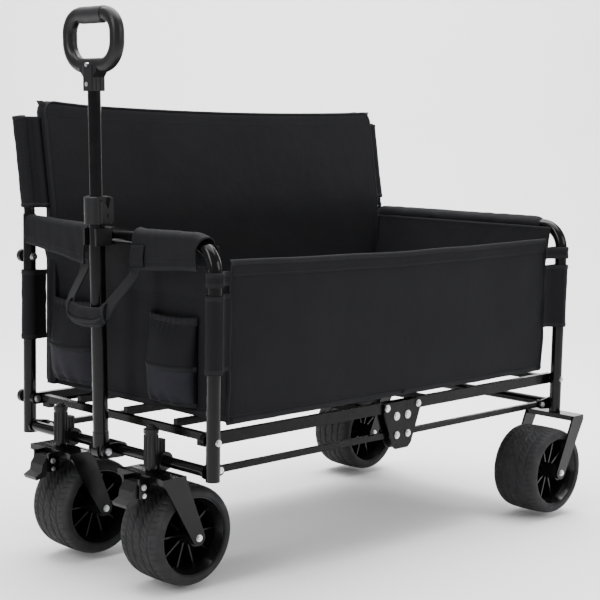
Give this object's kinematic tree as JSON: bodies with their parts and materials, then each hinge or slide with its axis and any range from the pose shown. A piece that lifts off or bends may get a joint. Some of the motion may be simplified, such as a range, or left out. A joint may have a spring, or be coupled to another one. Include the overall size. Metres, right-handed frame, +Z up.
{
  "type": "folding camp wagon",
  "caption": "Folding camp wagon: fabric tub with a high padded back on a folding steel frame, wide tyres, swivel front wheels and a telescoping pull handle.",
  "frame": {"origin": "on the ground under the middle of the whole wagon", "axes": "+X from the pull handle to the rear, +Y towards the high padded back, +Z up"},
  "size_m": [1.0414, 0.6196, 0.938],
  "materials": {
    "frame_paint": "satin black powder coat",
    "rail_paint": "matt black powder coat",
    "zinc": "zinc plated",
    "black_plastic": "fine moulded grain",
    "hub_plastic": "gloss moulded",
    "grip_rubber": "soft touch",
    "tyre": "matt rubber",
    "fabric": "coated oxford weave",
    "webbing": "woven webbing"
  },
  "bodies": {
    "front_frame": {"front_hoop": "frame_paint", "front_back_post": "frame_paint", "front_back_extension": "frame_paint", "front_low_tube": "frame_paint", "front_post_bumpers": "black_plastic", "front_frame_bolts": "zinc", "caster_stem_housings": "black_plastic", "handle_bracket": "frame_paint", "pole_clip": "black_plastic", "near_wall": "fabric", "back_panel": "fabric", "front_wall": "fabric", "front_rail_cover": "fabric", "cup_pockets": "fabric", "carry_strap": "webbing", "front_corner_sleeves": "fabric"},
    "front_button": {"front_extension_button": "zinc"},
    "floor_front": {"front_floor_rails": "rail_paint", "front_floor_bars": "rail_paint", "front_floor_pad": "fabric"},
    "links_front": {"front_lower_links": "rail_paint"},
    "centre": {"centre_plates": "rail_paint", "centre_rivets": "zinc"},
    "floor_rear": {"rear_floor_rails": "rail_paint", "rear_floor_bars": "rail_paint", "rear_floor_pad": "fabric"},
    "links_rear": {"rear_lower_links": "rail_paint"},
    "rear_frame": {"rear_hoop": "frame_paint", "rear_back_post": "frame_paint", "rear_back_extension": "frame_paint", "rear_low_tube": "frame_paint", "rear_post_bumpers": "black_plastic", "rear_frame_bolts": "zinc", "rear_forks": "frame_paint", "rear_axles": "zinc", "rear_wall": "fabric", "rear_rail_cover": "fabric", "rear_corner_sleeves": "fabric"},
    "rear_button": {"rear_extension_button": "zinc"},
    "handle_lower": {"handle_lower_tube": "frame_paint", "handle_clamp": "black_plastic"},
    "lever": {"clamp_lever": "black_plastic"},
    "handle_upper": {"handle_upper_tube": "frame_paint", "handle_grip": "black_plastic", "grip_insert": "grip_rubber", "grip_rivets": "zinc"},
    "caster_near": {"caster_fork_near": "frame_paint", "caster_axle_near": "zinc"},
    "front_wheel_near": {"front_tyre_near": "tyre", "front_hub_near": "hub_plastic"},
    "rear_wheel_near": {"rear_tyre_near": "tyre", "rear_hub_near": "hub_plastic"},
    "brake_near": {"brake_pedal_near": "black_plastic"},
    "caster_far": {"caster_fork_far": "frame_paint", "caster_axle_far": "zinc"},
    "front_wheel_far": {"front_tyre_far": "tyre", "front_hub_far": "hub_plastic"},
    "rear_wheel_far": {"rear_tyre_far": "tyre", "rear_hub_far": "hub_plastic"},
    "brake_far": {"brake_pedal_far": "black_plastic"}
  },
  "joints": [
    {"name": "fold", "type": "hinge", "parent": "front_frame", "child": "floor_front", "pos_m": [-0.43275, 0, 0.2595], "axis": [0, -1, 0], "range_deg": [0, 75], "deforming": ["near_wall", "back_panel", "front_wall", "rear_wall", "cup_pockets"]},
    {"name": "centre_level", "type": "hinge", "parent": "floor_front", "child": "centre", "pos_m": [-0.01375, 0, 0.2595], "axis": [0, -1, 0], "range_deg": [-77, 2]},
    {"name": "rear_floor_fold", "type": "hinge", "parent": "centre", "child": "floor_rear", "pos_m": [0.07025, 0, 0.2595], "axis": [0, -1, 0], "range_deg": [-77, 2]},
    {"name": "rear_frame_level", "type": "hinge", "parent": "floor_rear", "child": "rear_frame", "pos_m": [0.48925, 0, 0.2595], "axis": [0, -1, 0], "range_deg": [-2, 77]},
    {"name": "front_link_swing", "type": "hinge", "parent": "front_frame", "child": "links_front", "pos_m": [-0.40575, 0, 0.208], "axis": [0, -1, 0], "range_deg": [-2, 77]},
    {"name": "rear_link_swing", "type": "hinge", "parent": "centre", "child": "links_rear", "pos_m": [0.04325, 0, 0.208], "axis": [0, -1, 0], "range_deg": [-77, 2]},
    {"name": "handle_swing", "type": "hinge", "parent": "front_frame", "child": "handle_lower", "pos_m": [-0.46175, 0, 0.209], "axis": [0, -1, 0], "range_deg": [0, 98], "deforming": ["carry_strap"]},
    {"name": "handle_telescope", "type": "slide", "parent": "handle_lower", "child": "handle_upper", "axis": [-0.0279, 0, 0.9996], "range_m": [-0.14, 0.15]},
    {"name": "lever_swing", "type": "hinge", "parent": "handle_lower", "child": "lever", "pos_m": [-0.46875, -0.0248, 0.60296], "axis": [0, 1, 0], "range_deg": [0, 80]},
    {"name": "front_button_press", "type": "slide", "parent": "front_frame", "child": "front_button", "axis": [0.7071, 0.7071, 0], "range_m": [0, 0.003], "stiffness_N_per_m": 500},
    {"name": "rear_button_press", "type": "slide", "parent": "rear_frame", "child": "rear_button", "axis": [0.7071, 0.7071, 0], "range_m": [0, 0.003], "stiffness_N_per_m": 500},
    {"name": "caster_swivel_near", "type": "hinge", "parent": "front_frame", "child": "caster_near", "pos_m": [-0.45525, -0.123, 0.192], "axis": [0, 0, 1], "continuous": true},
    {"name": "front_wheel_spin_near", "type": "hinge", "parent": "caster_near", "child": "front_wheel_near", "pos_m": [-0.40075, -0.123, 0.0845], "axis": [0, 1, 0], "continuous": true},
    {"name": "brake_press_near", "type": "hinge", "parent": "caster_near", "child": "brake_near", "pos_m": [-0.48775, -0.123, 0.176], "axis": [0, -1, 0], "range_deg": [0, 14]},
    {"name": "rear_wheel_spin_near", "type": "hinge", "parent": "rear_frame", "child": "rear_wheel_near", "pos_m": [0.43625, -0.248, 0.0845], "axis": [0, 1, 0], "continuous": true},
    {"name": "caster_swivel_far", "type": "hinge", "parent": "front_frame", "child": "caster_far", "pos_m": [-0.45525, 0.123, 0.192], "axis": [0, 0, 1], "continuous": true},
    {"name": "front_wheel_spin_far", "type": "hinge", "parent": "caster_far", "child": "front_wheel_far", "pos_m": [-0.40075, 0.123, 0.0845], "axis": [0, 1, 0], "continuous": true},
    {"name": "brake_press_far", "type": "hinge", "parent": "caster_far", "child": "brake_far", "pos_m": [-0.48775, 0.123, 0.176], "axis": [0, -1, 0], "range_deg": [0, 14]},
    {"name": "rear_wheel_spin_far", "type": "hinge", "parent": "rear_frame", "child": "rear_wheel_far", "pos_m": [0.43625, 0.248, 0.0845], "axis": [0, 1, 0], "continuous": true}
  ],
  "couplings": [
    {"joint": "centre_level", "follows": "fold", "ratio": -1},
    {"joint": "rear_floor_fold", "follows": "fold", "ratio": -1},
    {"joint": "rear_frame_level", "follows": "fold", "ratio": 1},
    {"joint": "front_link_swing", "follows": "fold", "ratio": 1},
    {"joint": "rear_link_swing", "follows": "fold", "ratio": -1}
  ]
}
